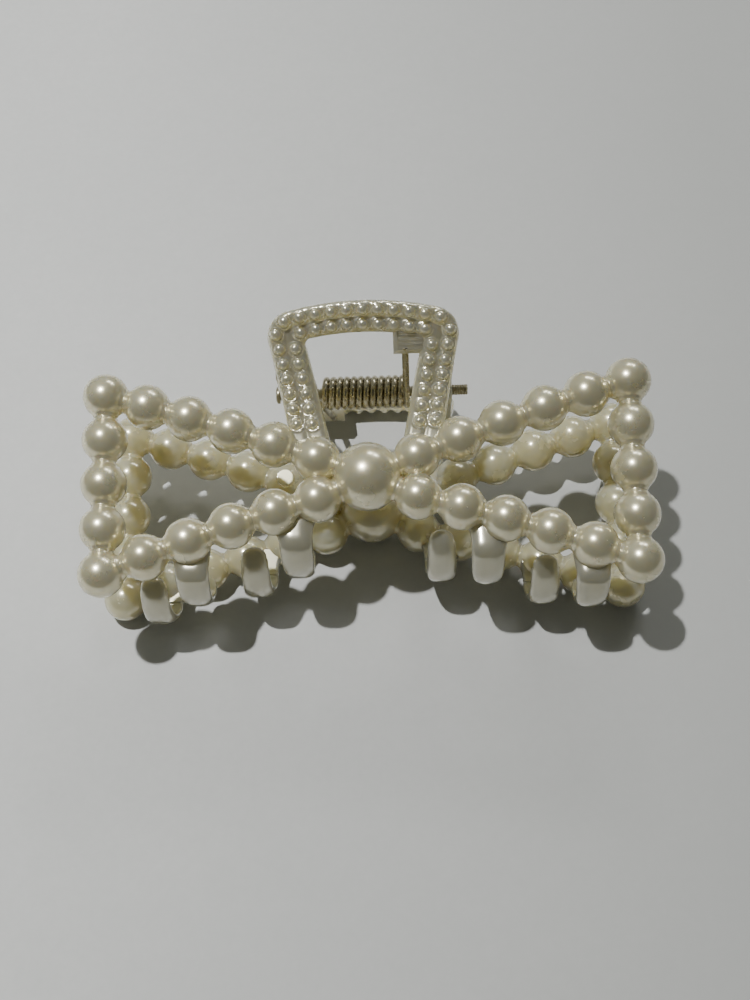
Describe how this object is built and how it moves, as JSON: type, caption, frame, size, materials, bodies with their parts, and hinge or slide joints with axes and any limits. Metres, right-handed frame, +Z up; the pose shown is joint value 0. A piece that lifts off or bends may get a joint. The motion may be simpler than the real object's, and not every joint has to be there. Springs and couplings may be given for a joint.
{
  "type": "hair claw clip",
  "caption": "Spring hair claw whose two hinged jaws are bows of moulded pearls, with open handle frames and curled teeth.",
  "frame": {"origin": "middle of the footprint of the clip lying on its back half, on the table", "axes": "+X along the bow and the hinge screw, +Y towards the handles, +Z up from the table"},
  "size_m": [0.09, 0.0496, 0.0432],
  "materials": {
    "pearl_plastic": "pearl lacquer over ivory plastic",
    "seed_pearl": "pearl lacquer",
    "steel": "dull plated steel",
    "spring_wire": "oiled dark bronze steel"
  },
  "bodies": {
    "back_half": {"back_centre_pearl": "pearl_plastic", "back_top_row_left": "pearl_plastic", "back_top_row_right": "pearl_plastic", "back_bottom_row_left": "pearl_plastic", "back_bottom_row_right": "pearl_plastic", "back_end_column_left": "pearl_plastic", "back_end_column_right": "pearl_plastic", "back_handle_leg_left": "pearl_plastic", "back_handle_leg_right": "pearl_plastic", "back_handle_rail": "pearl_plastic", "back_seed_pearls": "seed_pearl", "back_spring_tab": "pearl_plastic", "back_hinge_lug_left": "pearl_plastic", "back_hinge_lug_right": "pearl_plastic", "back_tooth_1": "pearl_plastic", "back_tooth_2": "pearl_plastic", "back_tooth_3": "pearl_plastic", "back_tooth_4": "pearl_plastic", "hinge_screw": "steel", "spring_coil": "spring_wire", "spring_back_leg": "spring_wire"},
    "front_half": {"front_centre_pearl": "pearl_plastic", "front_top_row_left": "pearl_plastic", "front_top_row_right": "pearl_plastic", "front_bottom_row_left": "pearl_plastic", "front_bottom_row_right": "pearl_plastic", "front_end_column_left": "pearl_plastic", "front_end_column_right": "pearl_plastic", "front_handle_leg_left": "pearl_plastic", "front_handle_leg_right": "pearl_plastic", "front_handle_rail": "pearl_plastic", "front_seed_pearls": "seed_pearl", "front_spring_tab": "pearl_plastic", "front_hinge_lug_left": "pearl_plastic", "front_hinge_lug_right": "pearl_plastic", "front_tooth_1": "pearl_plastic", "front_tooth_2": "pearl_plastic", "front_tooth_3": "pearl_plastic", "front_tooth_4": "pearl_plastic", "spring_front_leg": "spring_wire"}
  },
  "joints": [
    {"name": "jaw_hinge", "type": "hinge", "parent": "back_half", "child": "front_half", "pos_m": [0, 0.01262, 0.02007], "axis": [-1, 0, 0], "range_deg": [0, 75], "stiffness_Nm_per_rad": 0.085, "springref_deg": -34.38}
  ]
}
